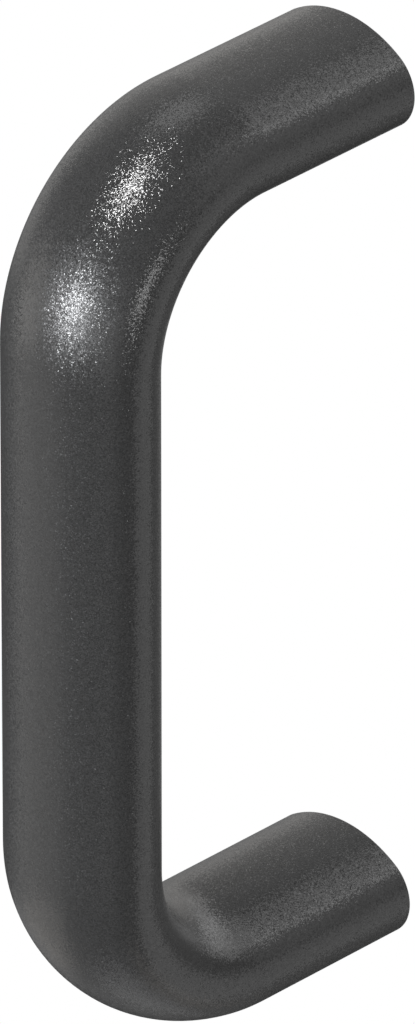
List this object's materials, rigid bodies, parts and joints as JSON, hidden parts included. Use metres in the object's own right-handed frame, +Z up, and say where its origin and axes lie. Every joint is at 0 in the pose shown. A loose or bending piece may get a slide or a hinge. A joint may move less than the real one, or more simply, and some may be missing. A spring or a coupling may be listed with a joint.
{
  "type": "bow handle",
  "caption": "Solid oval bar bent into a bow, with rounded corners and a tapped blind hole in each foot, pulled by hand to open a door or drawer; black textured coating.",
  "frame": {"origin": "midway between the two screw holes, on the mounting plane that both feet share", "axes": "+Y out of the screw holes, towards the door or drawer front that the handle is screwed to; +Z up along the grip; X across the bar"},
  "size_m": [0.02, 0.047, 0.113],
  "materials": {
    "textured_coating": "satin"
  },
  "bodies": {
    "root": {"bow_handle": "textured_coating"}
  },
  "joints": []
}
